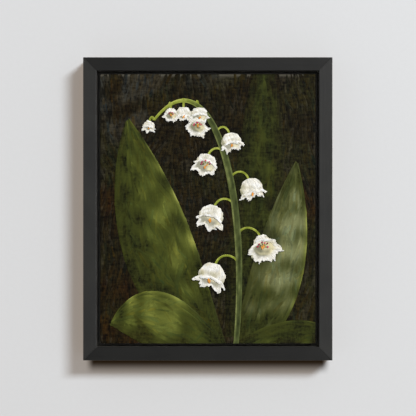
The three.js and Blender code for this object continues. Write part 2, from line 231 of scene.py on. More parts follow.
class Finish:
    """A material on one Principled shader, with short calls for the nodes that the finishes use."""

    def __init__(self, name, roughness, metallic=0.0, specular=0.5, sheen=0.0):
        self.material = bpy.data.materials.new(name)
        self.material.use_nodes = True
        self.tree = self.material.node_tree
        self.shader = self.tree.nodes["Principled BSDF"]
        constants = {
            "Roughness": roughness,
            "Metallic": metallic,
            "Specular IOR Level": specular,
            "Sheen Weight": sheen,
        }
        for name, value in constants.items():
            self.shader.inputs[name].default_value = value

    def feed(self, socket, value):
        if isinstance(value, Socket):
            self.tree.links.new(value.output, socket)
        elif np.ndim(value) and len(socket.default_value) == 4:
            socket.default_value = (*value, 1.0)
        else:
            socket.default_value = value

    def node(self, kind, settings=None, inputs=None, output=0):
        """Adds a node: first its settings, or a ramp's stops, then its sockets' values or links."""
        made = self.tree.nodes.new("ShaderNode" + kind)
        for key, value in (settings or {}).items():
            setattr(made, key, value)
        for key, value in (inputs or {}).items():
            self.feed(made.inputs[key], value)
        return Socket(self, made.outputs[output])

    def place(self, stretch=(1, 1, 1), shift=(0, 0, 0)):
        """Object coordinates, moved by shift and stretched."""
        place = self.node("TexCoord", output="Object")
        return self.node("Mapping", inputs={"Vector": place, "Location": shift, "Scale": stretch})

    def own_map(self, name, stretch=(1, 1, 1)):
        place = self.node("UVMap", {"uv_map": name})
        return self.node("Mapping", inputs={"Vector": place, "Scale": stretch})

    def size(self, value):
        """The value without its sign."""
        return value.math("ABSOLUTE", value)

    def part(self, vector, axis):
        return self.node("SeparateXYZ", inputs={0: vector}, output=axis)

    def noise(self, place, scale, detail=2.0, rough=0.5):
        inputs = {"Vector": place, "Scale": scale, "Detail": detail, "Roughness": rough}
        return self.node("TexNoise", inputs=inputs)

    def mix(self, share, a, b, how="MIX"):
        """Colour a towards b by share."""
        settings = {"data_type": "RGBA", "blend_type": how}
        return self.node("Mix", settings, {0: share, 6: a, 7: b}, output=2)

    def scaled(self, colour, factor):
        return self.node("VectorMath", {"operation": "SCALE"}, {0: colour, "Scale": factor})

    def bump(self, height, depth, strength=1.0, under=None):
        """A bump of that height in metres where height is 1, on top of the normal under it."""
        inputs = {"Height": height, "Distance": depth, "Strength": strength}
        if under is not None:
            inputs["Normal"] = under
        return self.node("Bump", inputs=inputs)

    def set(self, colour=None, roughness=None, normal=None):
        """Links what varies and returns the finished material."""
        for name, value in (("Base Color", colour), ("Roughness", roughness), ("Normal", normal)):
            if value is not None:
                self.feed(self.shader.inputs[name], value)
        return self.material


WEAVE = 0.85 * MM  # from one thread of the canvas to the next


def weave_height(f, x, z):
    """Over and under threads: the product of a sine along each way, with slightly wandering threads."""
    rate = 2 * np.pi / (2 * WEAVE)
    wander = f.noise(f.place(), 60, 2) * 6
    return ((x * rate + wander).sin() * (z * rate + wander).sin() + 1) * 0.5


def paint_finish():
    """Oil paint: the colour laid on, streaked by bristles, over the weave, under a satin varnish."""
    f = Finish("oil_paint", roughness=0.5, specular=0.04)
    colour = f.node("Attribute", {"attribute_name": "paint"})
    place = f.place()
    weave = weave_height(f, f.part(place, 0), f.part(place, 2))
    bristle = f.noise(f.own_map("stroke", (45, 1300, 1)), 1, 3, 0.7)
    threads = f.noise(f.place((1, 1, 0.25)), 620, 2, 0.6) + f.noise(f.place((0.25, 1, 1)), 620, 2, 0.6)
    speck = f.noise(place, 420, 3, 0.7)
    dark = 1 - f.part(colour, 1).step(0.010, 0.048) * 0.9
    # The weave's share lightens the tops of the threads, a painted highlight; threads and specks are tone that
    # varies at random.
    grain = weave * 0.3 + threads * 2.7 + speck * 2.7 - 4.2  # about 0 on the whole
    tone = 1 + grain * dark + (bristle - 0.5) * (0.25 + dark * 0.5)
    normal = f.bump((weave + threads) * dark, 0.05 * MM)
    normal = f.bump(bristle, 0.04 * MM, under=normal)
    return f.set(f.scaled(colour, tone.clipped(0.2, 3.0)), 0.42 + speck * 0.22, normal)


def cloth_finish():
    """Raw cotton canvas: plain weave with slubs, a little darker between the threads, painted shade in the
    weave's hollows.
    """
    f = Finish("raw_canvas", roughness=0.95, specular=0.15, sheen=0.15)
    place = f.own_map("cloth")
    weave = weave_height(f, f.part(place, 0), f.part(place, 1))
    slub = f.noise(f.own_map("cloth", (1, 12, 1)), 90, 3) + f.noise(f.own_map("cloth", (12, 1, 1)), 90, 3)
    stain = f.noise(f.place(), 14, 3)
    tone = 0.62 + weave * 0.3 + slub * 0.12 + stain * 0.1
    colour = f.mix(stain.step(0.35, 0.7), level(214, 202, 172), level(226, 216, 192))
    return f.set(f.scaled(colour, tone), normal=f.bump(weave + slub * 0.4, 0.18 * MM))


def frame_finish(name, along, relief, tint_with_painted_light):
    """Satin black paint on a rail, its grain along the rail, bare wood on the back, and painted light in the
    gap.
    """
    f = Finish(name, roughness=0.4, specular=0.3)
    stretch = [1.0, 1.0, 1.0]
    stretch[along] = 0.02
    grain = f.noise(f.place(stretch), 1500, 3, 0.6)
    fine = f.noise(f.place(stretch), 5200, 1)
    cloud = f.noise(f.place(), 30, 3)
    black = f.mix(cloud.step(0.3, 0.7), level(tint_with_painted_light, tint_with_painted_light, tint_with_painted_light - 1), level(tint_with_painted_light + 6, tint_with_painted_light + 6, tint_with_painted_light + 4))
    black = f.mix(grain.step(0.62, 0.8) * 0.5, black, level(tint_with_painted_light + 16, tint_with_painted_light + 15, tint_with_painted_light + 12))
    wood = f.mix(grain, level(150, 112, 72), level(196, 158, 112))
    depth = f.part(f.place(), 1)
    # Deep in the frame the black is painted lighter, and lighter still on the inner walls beside the canvas:
    # painted light in the shaded gap.
    black = f.mix(depth.step(RAIL_FRONT_Y + 3 * MM, RAIL_FRONT_Y + 14 * MM), black, level(62, 61, 57))
    from_middle = f.place(shift=(0, 0, -MIDDLE_Z))
    across, up = f.size(f.part(from_middle, 0)), f.size(f.part(from_middle, 2))
    beside = 1 - across.step(HALF_W + 5 * MM, HALF_W + 7 * MM)
    painted_gap_light = beside * (1 - up.step(HALF_H + 5 * MM, HALF_H + 7 * MM))
    painted_gap_light = painted_gap_light * depth.step(RAIL_FRONT_Y + 1 * MM, RAIL_FRONT_Y + 6 * MM)
    black = f.mix(painted_gap_light, black, level(112, 110, 104))
    bare = depth.step(RAIL_BACK_Y - 0.1 * MM, RAIL_BACK_Y - 0.02 * MM)
    normal = f.bump(grain, 0.04 * MM * relief)
    normal = f.bump(fine, 0.012 * MM * relief, under=normal)
    return f.set(f.mix(bare, black, wood), 0.24 + grain * 0.12 + bare * 0.4, normal)


def wood_finish(name, along, light, dark, seed):
    """Planed wood: stretched growth rings and fibres along one axis."""
    f = Finish(name, roughness=0.62, specular=0.3)
    stretch = [1.0, 1.0, 1.0]
    stretch[along] = 0.06
    shift = (seed * 0.37, seed * 0.11, seed * 0.23)
    place = f.place(stretch, shift)
    rings = (f.noise(place, 45, 2) * 60).sin() * 0.5 + 0.5
    fibre = f.noise(place, 1900, 2, 0.6)
    cloud = f.noise(f.place(shift=shift), 22, 3)
    colour = f.mix((rings * 0.55 + fibre * 0.3 + cloud * 0.25).clipped(), level(*light), level(*dark))
    return f.set(colour, 0.55 + fibre * 0.2, f.bump(rings * 0.5 + fibre * 0.5, 0.05 * MM))


def metal_finish(name, tint_with_painted_light, roughness):
    """Plated steel: faint blotches and drawing lines."""
    f = Finish(name, roughness=roughness, metallic=1.0)
    blotch = f.noise(f.place(), 320, 4, 0.6)
    scratch = f.noise(f.place((1, 1, 0.05)), 3000, 2)
    colour = f.scaled(f.mix(blotch, level(*tint_with_painted_light), level(*[x * 0.82 for x in tint_with_painted_light])), 0.85 + scratch * 0.25)
    return f.set(colour, roughness - 0.08 + blotch * 0.25, f.bump(scratch + blotch, 0.02 * MM))


def felt_finish():
    f = Finish("pressed_felt", roughness=1.0, specular=0.1, sheen=0.4)
    fibre = f.noise(f.place((1, 2, 1)), 2600, 4, 0.7)
    colour = f.mix(fibre, level(44, 43, 41), level(84, 81, 77))
    return f.set(colour, normal=f.bump(fibre, 0.25 * MM))


# ---- The canvas cloth --------------------------------------------------------------------------


def wrapped_sheet(half_w, half_h, inset, depth, radius, cells_w, cells_h):
    """A sheet wrapped over a slab: a flat front, then rings that follow a profile over its edge.

    Ring k lies inset[k] inside the slab's outline, depth[k] behind its front, with corners of radius[k].
    In a corner, the ring's place along its arc is the grid's own angle there. Returns points (rows, columns,
    3) in (x, depth, z) about the middle, and the flat cloth's (s, t) of each.
    """
    rings = len(inset)
    run = np.concatenate([[0], np.cumsum(np.hypot(np.diff(inset), np.diff(depth)))])
    count_w, count_h = cells_w + 1 + 2 * (rings - 1), cells_h + 1 + 2 * (rings - 1)
    i = np.arange(count_w)[None, :] - (count_w - 1) / 2
    j = np.arange(count_h)[:, None] - (count_h - 1) / 2
    over_i = np.maximum(np.abs(i) - cells_w / 2, 0)
    over_j = np.maximum(np.abs(j) - cells_h / 2, 0)
    ring = np.maximum(over_i, over_j).astype(int)
    d, r = inset[ring], radius[ring]
    corner_x, corner_z = half_w - d - r, half_h - d - r
    angle = np.pi / 4 * np.where(
        over_i >= over_j, over_j / np.maximum(over_i, 1e-9), 2 - over_i / np.maximum(over_j, 1e-9)
    )
    in_x = np.clip(np.abs(i) / (cells_w / 2), 0, 1) * corner_x
    in_z = np.clip(np.abs(j) / (cells_h / 2), 0, 1) * corner_z
    x = np.where(over_i > 0, corner_x + r * np.cos(angle), in_x)
    z = np.where(over_j > 0, corner_z + r * np.sin(angle), in_z)
    x = np.where((over_i > 0) & (over_j == 0), corner_x + r, x)
    z = np.where((over_j > 0) & (over_i == 0), corner_z + r, z)
    points = np.stack([np.sign(i) * x, depth[ring] + 0 * x, np.sign(j) * z], -1)
    flat_w = np.sign(i) * np.where(over_i > 0, half_w + run[over_i.astype(int)], in_x)
    flat_h = np.sign(j) * np.where(over_j > 0, half_h + run[over_j.astype(int)], in_z)
    return points, np.stack([flat_w + 0 * j, flat_h + 0 * i], -1)


def edge_profile(turn, side, back, steps=5, back_steps=8):
    """Insets, depths and corner radii of rings: round over the front edge, straight back, round, and in."""
    a = np.linspace(0, np.pi / 2, steps)
    inset = turn * (1 - np.sin(a))
    depth = turn * (1 - np.cos(a))
    straight = np.linspace(turn, side - turn, 6)[1:]
    inset = np.concatenate([inset, 0 * straight])
    depth = np.concatenate([depth, straight])
    if back:
        inward = turn + np.linspace(0, back - turn, back_steps)[1:]
        inset = np.concatenate([inset, turn * (1 - np.cos(a[1:])), inward])
        depth = np.concatenate([depth, side - turn * (1 - np.sin(a[1:])), side + 0 * inward])
    return inset, depth, 1.1 * turn + 0 * inset


def canvas_sheet(finish):
    """The cotton cloth, wrapped over the bars and turned in behind them. Its cut edge is a bit uneven."""
    turned = 31 * MM
    side = cloth_high.y - cloth_low.y
    inset, depth, radius = edge_profile(1.0 * MM, side, turned)
    points, flat = wrapped_sheet(HALF_W, HALF_H, inset, depth, radius, 60, 75)
    x, d, z = points[..., 0], points[..., 1], points[..., 2]
    behind = smooth(side - 0.3 * MM, side, d)
    edge = smooth(turned - 8 * MM, turned, np.minimum(HALF_W - np.abs(x), HALF_H - np.abs(z))) * behind
    fray = 0.5 * MM * edge * ripple(x, z, 9 * MM, 3)
    x, z = x - fray * np.sign(x), z - fray * np.sign(z)
    y = cloth_low.y + d - 0.12 * MM * edge * (1 + ripple(x, z, 14 * MM, 4))
    rows, columns = x.shape
    places = np.stack([x, y, z + MIDDLE_Z], -1)
    faces, maps = grid_faces(rows, columns), {"cloth": flat}
    sheet = mesh_piece("canvas_sheet", places, faces, finish, maps=maps)
    thick = sheet.modifiers.new("thickness", "SOLIDIFY")
    thick.thickness = 0.5 * MM
    thick.offset = -1
    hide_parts("canvas_cloth")
    return sheet


# ---- The picture's drawing ---------------------------------------------------------------------
# Places on the picture are (across, up) from its middle, with each half side as 1. Lift is how far the paint
# stands out from the ground.

LEAF_LIFT = 0.10 * MM  # of the leaf furthest back
LAYER = 0.11 * MM  # from one leaf to the leaf in front of it
STEM_LIFT = 0.95 * MM
BELL_LIFT = 1.2 * MM
BELL_RELIEF = 0.8 * MM
BELL_WALL = 0.03  # in widths


def on_picture(points):
    """Metres from the middle, from (across, up)."""
    return np.asarray(points, float) * [HALF_W, HALF_H]


def placed(x, z, lift):
    """Points of the room from places on the picture in metres and their lift off the ground."""
    return np.stack(np.broadcast_arrays(x, PAINT_Y - lift, z + MIDDLE_Z), -1)


def picture_map(x, z):
    """The picture's own flat map: 0 to 1 across and up."""
    return np.stack(np.broadcast_arrays(x / (2 * HALF_W) + 0.5, z / (2 * HALF_H) + 0.5), -1)


def spot(distance, reach):
    """1 at no distance, fading as a bell curve with that reach."""
    return np.exp(-((distance / reach) ** 2))


def hush(x, z):
    """How much of the light is left beside the flowers: a soft dark setting close round each one."""
    left = np.ones(np.broadcast(x, z).shape)
    for bell in BELLS:
        far = np.hypot(x - bell.middle[0], z - bell.middle[1]) / bell.width
        left = left * (1 - 0.45 * spot(np.maximum(far - 0.5, 0), 0.14))
    return left[..., None]


def ground_colour(x, z):
    """Umber that is warm low down, olive in clouds, and slate towards the upper left."""
    across, up = x / HALF_W, z / HALF_H
    warm = smooth(-0.1, 1.2, -0.35 * across - 0.75 * up + 0.5 * ripple(x, z, 55 * MM, 11))
    olive = smooth(-0.2, 1.4, ripple(x, z, 70 * MM, 12) + 0.3 + 0.5 * across)
    corner = 0.8 * up - 0.55 * across - 0.35
    slate = smooth(0.4, 1.0, corner + 0.25 * ripple(x, z, 34 * MM, 13))
    colour = blend(UMBER, UMBER_WARM, 0.55 * warm)
    colour = blend(colour, UMBER_OLIVE, 0.65 * olive * (1 - slate))
    return blend(colour, SLATE, 0.6 * slate) * hush(x, z)


class Leaf:
    """A blade between two edges, each a curve from its foot to its tip.

    s runs along it and t across it, from 0 on the lower edge to 1 on the upper one: a place is the straight
    share t from edge to edge. Its tone is a level of light plus soft patches, each (s, t, reach along, reach
    across, amount), plus a thin lit rim on its upper edge, or on its lower one if rim is below 0. Its lower
    edge, or its upper one, melts into the ground by the share in melt (lower, upper).
    """

    def __init__(self, lower, upper, tone, seed, patches=(), rim=0.0, melt=(0.0, 0.0), bloom=0.0):
        self.lower, self.upper = on_picture(lower), on_picture(upper)
        self.tone, self.seed, self.patches, self.rim = tone, seed, patches, rim
        self.melt, self.bloom = melt, bloom
        self.length = np.linalg.norm(np.diff(bezier(self.upper, np.linspace(0, 1, 60)), axis=0), axis=1).sum()
        self.half = 0.5 * np.linalg.norm(bezier(self.upper, 0.55) - bezier(self.lower, 0.55))

    def at(self, s, t):
        t = np.asarray(t)[..., None]
        waver = 0.012 * np.sin(7 * np.asarray(s) + self.seed)[..., None]
        return bezier(self.lower, s) * (1 - t - waver) + bezier(self.upper, s) * (t + waver)

    def colour(self, s, t, x, z):
        cloud = ripple(s * self.length, t * self.half * 2, 26 * MM, self.seed + 50)
        streak = ripple(s * self.length * 0.08, t * self.half * 2, 3 * MM, self.seed)
        value = self.tone + 0.07 * cloud + 0.04 * streak
        for along, across, reach_s, reach_t, amount in self.patches:
            value = value + amount * spot(s - along, reach_s) * spot(t - across, reach_t)
        edge = 1 - t if self.rim > 0 else t
        shown = smooth(0.12, 0.35, s) * smooth(1.0, 0.8, s) * (0.75 + 0.25 * cloud)
        value = value + abs(self.rim) * (spot(edge, 0.05) + 0.35 * spot(edge, 0.22)) * shown
        value = value * (0.55 + 0.45 * smooth(0.0, 0.35, s))
        colour = ramp(LEAF_STOPS, value)
        shade = np.array(BLOOM) * (0.1 + 0.95 * np.clip(value, 0, 1.2) ** 1.6)[..., None]
        bloom = self.bloom * smooth(0.25, 0.8, value) * (1 - spot(edge, 0.07))
        colour = blend(colour, shade, bloom) * hush(x, z)
        low = self.melt[0] * smooth(0.45, 0.0, t + 0.10 * cloud)
        high = self.melt[1] * smooth(0.55, 1.0, t + 0.10 * cloud)
        return blend(colour, ground_colour(x, z), np.clip(low + high, 0, 1))


# From the back of the picture to the front. All rise from one foot, as the plant's leaves do.
LEAVES = [
    Leaf(  # dim, behind the stem, up to the top edge
        [(0.30, -0.95), (0.72, -0.35), (0.80, 0.40), (0.60, 1.08)],
        [(0.16, -0.95), (0.16, -0.20), (0.26, 0.50), (0.44, 1.08)],
        0.17, 1, patches=[(0.62, 0.5, 0.3, 0.5, 0.10)], melt=(0.7, 0.7),
    ),
    Leaf(  # tall and broad on the left, its point inside the picture
        [(0.06, -1.12), (-0.86, -0.80), (-1.02, 0.00), (-0.76, 0.66)],
        [(0.22, -1.12), (-0.02, -0.50), (-0.22, 0.16), (-0.74, 0.68)],
        0.34, 4, rim=0.30, melt=(0.2, 0.0),
        patches=[(0.55, 0.62, 0.3, 0.3, 0.20), (0.40, 0.20, 0.3, 0.3, -0.10)],
    ),
    Leaf(  # right, narrower and upright, its pale back turned to the light
        [(0.34, -1.12), (0.98, -0.86), (1.00, -0.20), (0.84, 0.34)],
        [(0.20, -1.12), (0.34, -0.60), (0.50, -0.05), (0.82, 0.36)],
        0.34, 5, bloom=0.6, rim=-0.26, melt=(0.0, 0.2),
        patches=[(0.6, 0.5, 0.26, 0.6, 0.34)],
    ),
    Leaf(  # low on the right, nearly lost
        [(0.22, -1.18), (0.50, -1.14), (0.80, -1.04), (1.08, -0.98)],
        [(0.22, -1.02), (0.46, -0.86), (0.76, -0.78), (1.08, -0.86)],
        0.20, 2, patches=[(0.45, 0.7, 0.25, 0.4, 0.14)], rim=0.18, melt=(0.9, 0.2),
    ),
    Leaf(  # low on the left, bent over to a drooping point
        [(0.12, -1.18), (-0.30, -1.12), (-0.62, -1.02), (-0.90, -0.86)],
        [(0.12, -0.98), (-0.26, -0.56), (-0.66, -0.46), (-0.90, -0.84)],
        0.42, 6, patches=[(0.5, 0.6, 0.25, 0.4, 0.24)], rim=0.26, melt=(0.5, 0.0),
    ),
]

# It rises right of the middle and arches over to the left.
STEM = on_picture([(0.26, -1.02), (0.34, -0.35), (0.30, 0.42), (-0.02, 1.15), (-0.50, 0.66)])
PAINTED_LIGHT = np.array([0.30, 0.60, 0.74])  # across, towards the viewer, up


class Bell:
    """One flower: where its cup's middle is, its width in mm, the lean of its mouth to the right in degrees
    from straight down, how far the mouth turns to the viewer in degrees, the turn of its lobes, how far up
    the stem its stalk starts (0 at the foot, 1 at the top), and how far the stalk climbs, in widths, before
    and after its arch."""

    def __init__(self, across, up, width, lean, facing, turn, start, climb):
        self.middle = on_picture((across, up))
        self.width, self.turn, self.start, self.climb = width * MM, turn, start, climb
        lean, facing = np.radians(lean), np.radians(facing)
        # Local axes in (across, towards the viewer, up): out of the mouth, and two across it.
        self.out = np.array([np.sin(lean) * np.cos(facing), np.sin(facing), -np.cos(lean) * np.cos(facing)])
        self.side = unit(np.cross(self.out, [0.3, 0.2, 1.0]))
        self.third = np.cross(self.out, self.side)
        self.open = float(smooth(0.6, 0.85, facing))
        self.crown = self.middle - 0.36 * self.width * self.out[[0, 2]]

    def local(self, h, a, shrink=0.0):
        """The place at h from crown to rim and angle a, in widths from the cup's middle.

        The cup swells quickly to its full width and flares into six uneven, curled and ruffled lobes.
        """
        lobe = 0.5 + 0.5 * np.cos(6 * (a + self.turn) + 0.5 * np.sin(a + 4 * self.turn))
        lobe = lobe * (1 + 0.25 * np.sin(a + 9 * self.turn) + 0.2 * np.sin(2 * a + 5 * self.turn))
        ruffle = 0.6 * np.sin(17 * a + 3 * self.turn) + 0.5 * np.sin(25 * a + 7 * self.turn)
        flare = smooth(0.58, 1.0, h)
        cup = 0.46 - 0.13 * self.open
        swell = (1 - (1 - np.clip(h, 0, 1)) ** 3.0) ** 0.5
        radius = cup * swell - 0.08 * smooth(0.42, 0.82, h) * (1 - self.open)
        radius = radius + flare**1.4 * (0.03 + 0.11 * self.open + 0.11 * lobe + 0.022 * ruffle)
        notch = 0.19 - 0.07 * self.open
        along = 0.80 * h - notch * (1 - lobe) * smooth(0.6, 1.0, h) - 0.10 * flare**2 * lobe
        along = along + 0.022 * ruffle * flare
        radius, along = radius - shrink, along + 0.6 * shrink * (1 - flare)
        across = (radius * np.cos(a))[..., None] * self.side + (radius * np.sin(a))[..., None] * self.third
        return (along - 0.38)[..., None] * self.out + across

    def at(self, h, a, shrink=0.0):
        """Its place on the picture in metres and its lift: the flower drawn straight on and pressed flat."""
        place = self.local(h, a, shrink)
        x = self.middle[0] + place[..., 0] * self.width
        z = self.middle[1] + place[..., 2] * self.width
        return x, z, BELL_LIFT + (0.55 + place[..., 1]) * BELL_RELIEF

    def normal(self, h, a, shrink=0.0):
        step = 0.004
        along = self.local(h + step, a, shrink) - self.local(h - step, a, shrink)
        around = self.local(h, a + step, shrink) - self.local(h, a - step, shrink)
        return unit(np.cross(around, along))

    def colour(self, h, a, inside):
        """Painted light from the upper right: it follows the cosine to the light, over soft patches. Inside,
        the white of the lobes turns grey-green towards the lower left of the hollow, and cream towards its
        upper right."""
        shrink, sign = (BELL_WALL, -1) if inside else (0.0, 1)
        place = self.local(h, a, shrink)
        shine = sign * self.normal(h, a, shrink) @ unit(PAINTED_LIGHT)
        mottle = ripple(a, 3 * h, 1.1, int(self.turn * 100))
        if inside:
            white = ramp(BELL_STOPS, 0.88 + 0.10 * shine + 0.07 * mottle)
            lit = place[..., 0] + 0.8 * place[..., 2] + 0.06 * mottle
            hollow = blend(HOLLOW_GREY, HOLLOW_CREAM, smooth(-0.32, 0.14, lit))
            deep = smooth(0.88, 0.64, h) * (0.8 + 0.2 * self.open)
            return blend(white, hollow * (1 + 0.08 * mottle)[..., None], deep)
        fold = np.cos(6 * (a + self.turn))
        value = 0.57 + 0.34 * shine + 0.09 * mottle + 0.06 * fold * smooth(0.3, 0.8, h)
        return ramp(BELL_STOPS, value + 0.18 * smooth(0.78, 0.95, h))


FLOWERS = 11
LOWEST_FLOWER = 0.22  # its share of the way up the stem
FLOWER_WIDTHS = (30, 12)  # mm, of the lowest and of the last
FLOWER_REACH = 0.85  # how far a flower stands off beside an upright stem, in widths
FLOWER_LEAN = 18  # degrees, of its mouth away from an upright stem
STALK_CLIMB = 0.28  # in widths


def flowers():
    """The flowers as the plant bears them: by turns on the stem's two sides, each hanging on an arched stalk,
    smaller towards the tip. Where the stem lies over, they hang straight below it."""
    bells = []
    for i in range(FLOWERS):
        young = i / (FLOWERS - 1)
        start = LOWEST_FLOWER + (1 - LOWEST_FLOWER) * young
        width = FLOWER_WIDTHS[0] + (FLOWER_WIDTHS[1] - FLOWER_WIDTHS[0]) * young
        upright = abs(unit(bezier(STEM, start) - bezier(STEM, start - 0.01))[1])
        side = (1 if i % 2 else -1) * upright**3
        drop = 0.35 + 0.45 * (1 - upright)
        middle = bezier(STEM, start) + width * MM * np.array([FLOWER_REACH * side, -drop])
        across, up = middle / [HALF_W, HALF_H]
        facing = 6 + 48 * ((0.618 * i + 0.2) % 1)
        lean, turn = FLOWER_LEAN * side, (0.37 * i) % 1
        bells.append(Bell(across, up, width, lean, facing, turn, start, STALK_CLIMB))
    return bells


BELLS = flowers()

# ---- Brush strokes -----------------------------------------------------------------------------

STROKE_STEPS = 8
# Across a stroke: place in half widths, and height in thicknesses. Bristles push paint to the two sides.
STROKE_ACROSS = np.array([-1.0, -0.72, 0.0, 0.72, 1.0])
STROKE_CROWN = np.array([-0.7, 0.95, 0.6, 0.85, -0.7])
STROKE_STREAK = np.array([0.05, 0.09, 0.09, 0.09, 0.05])[:, None]  # spread of light across a stroke
LEAF_STROKE_AREA = 14 * MM * 2.4 * MM  # of leaf for each stroke
LEAF_DOME = 0.03 * MM  # how much a leaf swells between its rims


def inside_picture(x, z, margin):
    return (np.abs(x) < HALF_W - margin) & (np.abs(z) < HALF_H - margin)


def stroke_piece(name, finish, batches):
    """One mesh of many strokes. Each batch gives path (n, k, 3) as x, z and lift, half widths (n,), colours
    (n, k, 3), thickness and seed. A stroke's points are its path plus its half width, tapered at both ends,
    along the path's normal, and its height is the crown's, sinking at both ends."""
    points, colours, brush = [], [], []
    for path, half, colour, thick, seed in batches:
        rng = np.random.default_rng(seed)
        n, k, _ = path.shape
        ahead = unit(np.gradient(path[..., :2], axis=1))
        normal = np.stack([-ahead[..., 1], ahead[..., 0]], -1)
        end = np.linspace(-1, 1, k)
        taper = (1 - np.abs(end) ** 3.2) ** 0.5 * 0.86 + 0.14
        across = STROKE_ACROSS * half[:, None, None] * taper[None, :, None]
        place = path[:, :, None, :2] + normal[:, :, None, :] * across[..., None]
        press = np.clip(1.25 - 0.5 * end, 0.6, 1.4)[:, None]
        height = thick * np.where(np.abs(end)[:, None] > 0.99, STROKE_CROWN.min(), STROKE_CROWN * press)
        x = np.clip(place[..., 0], -HALF_W, HALF_W)
        z = np.clip(place[..., 1], -HALF_H, HALF_H)
        points.append(placed(x, z, path[..., 2][..., None] + height).reshape(n, -1, 3))
        streak = 1 + STROKE_STREAK * rng.standard_normal((n, 1, len(STROKE_ACROSS), 1))
        colours.append((colour[:, :, None, :] * streak).reshape(n, -1, 3))
        steps = np.linalg.norm(np.diff(path[..., :2], axis=1), axis=-1)
        run = np.concatenate([np.zeros((n, 1)), np.cumsum(steps, 1)], 1)
        shift = rng.uniform(0, 50, (n, 1, 1))
        along = np.broadcast_to(run[:, :, None] + shift, across.shape)
        brush.append(np.stack([along, across + 0.37 * shift], -1).reshape(n, -1, 2))
    points, colours, brush = (np.concatenate(x) for x in (points, colours, brush))
    count, each = len(points), points.shape[1]
    one = grid_faces(STROKE_STEPS, len(STROKE_ACROSS))[:, ::-1]
    faces = (one[None] + each * np.arange(count)[:, None, None]).reshape(-1, 4)
    places = points.reshape(-1, 3)
    flat = picture_map(places[:, 0], places[:, 2] - MIDDLE_Z)
    return mesh_piece(name, places, faces, finish, colours, {"OFBake": flat, "stroke": brush})


def varied(colour, rng, spread=0.12, warmth=0.05):
    """A colour for each stroke, a little lighter or darker and warmer or cooler than its place's."""
    n = len(colour)
    light = 1 + spread * rng.standard_normal((n, 1, 1))
    warm = warmth * rng.standard_normal((n, 1, 1)) * np.array([1.0, 0.2, -1.2])
    return np.clip(colour * light * (1 + warm), 0.002, 0.95)


def ground_strokes(count, seed):
    """Strokes scrubbed up and down, leaning a little with a slow random field."""
    rng = np.random.default_rng(seed)
    x, z = rng.uniform(-HALF_W, HALF_W, count), rng.uniform(-HALF_H, HALF_H, count)
    angle = np.pi / 2 + 0.16 * ripple(x, z, 60 * MM, seed) + 0.14 * rng.standard_normal(count)
    length = rng.uniform(7, 22, count) * MM
    half = rng.uniform(0.5, 1.9, count) * MM
    s = np.linspace(-0.5, 0.5, STROKE_STEPS)
    path_x = x[:, None] + length[:, None] * s * np.cos(angle)[:, None]
    path_z = z[:, None] + length[:, None] * s * np.sin(angle)[:, None]
    lift = np.broadcast_to((rng.uniform(0.0, 0.03, count) * MM)[:, None], path_x.shape)
    keep = inside_picture(x, z, 0.5 * MM)
    colour = varied(ground_colour(path_x, path_z), rng, 0.20, 0.14)
    return np.stack([path_x, path_z, lift], -1)[keep], half[keep], colour[keep], 0.03 * MM, seed


def leaf_strokes(leaf, index, seed):
    """Strokes that run along a blade, drifting a little across it."""
    rng = np.random.default_rng(seed)
    count = int(leaf.length * leaf.half * 1.5 / LEAF_STROKE_AREA)
    s0, t0 = rng.uniform(0.02, 0.98, count), rng.uniform(0.03, 0.97, count)
    length = rng.uniform(8, 26, count) * MM / leaf.length
    half = rng.uniform(0.6, 1.9, count) * MM * (0.35 + 0.65 * smooth(0.0, 0.25, np.minimum(t0, 1 - t0)))
    s = np.clip(s0[:, None] + length[:, None] * np.linspace(-0.5, 0.5, STROKE_STEPS), 0.0, 0.995)
    room = np.minimum(half / (2 * leaf.half), 0.45)[:, None]
    t = t0[:, None] + 0.06 * rng.standard_normal((count, 1)) * np.linspace(-1, 1, STROKE_STEPS)
    t = np.clip(t, room, 1 - room)
    place = leaf.at(s, t)
    x, z = place[..., 0], place[..., 1]
    lift = LEAF_LIFT + LAYER * index + LEAF_DOME + (rng.uniform(-0.01, 0.02, count) * MM)[:, None]
    colour = varied(leaf.colour(s, t, x, z), rng, 0.10, 0.06)
    middle = STROKE_STEPS // 2
    keep = inside_picture(x[:, middle], z[:, middle], 0.8 * MM)
    path = np.stack([x, z, np.broadcast_to(lift, x.shape)], -1)
    return path[keep], half[keep], colour[keep], 0.02 * MM, seed


def bell_strokes(bell, count, seed):
    """Thick dabs down the side of a cup that faces the viewer, and round its lobes."""
    rng = np.random.default_rng(seed)
    h0, a0 = rng.uniform(0.06, 1.0, count) ** 0.7, rng.uniform(0, 2 * np.pi, count)
    facing = bell.normal(h0, a0)[:, 1] > 0.12
    rim = (h0 > 0.75)[:, None]
    s = np.linspace(-0.5, 0.5, STROKE_STEPS)
    h = np.clip(h0[:, None] + np.where(rim, 0.05, 0.22) * s, 0.03, 1.0)
    a = a0[:, None] + np.where(rim, 0.42, 0.06 * rng.standard_normal((count, 1))) * s
    x, z, lift = bell.at(h, a)
    colour = varied(bell.colour(h, a, False), rng, 0.06, 0.02)
    half = rng.uniform(0.5, 1.15, count) * MM
    path = np.stack([x, z, lift + 0.02 * MM + (rng.uniform(0, 0.04, count) * MM)[:, None]], -1)
    return path[facing], half[facing], colour[facing], 0.09 * MM, seed


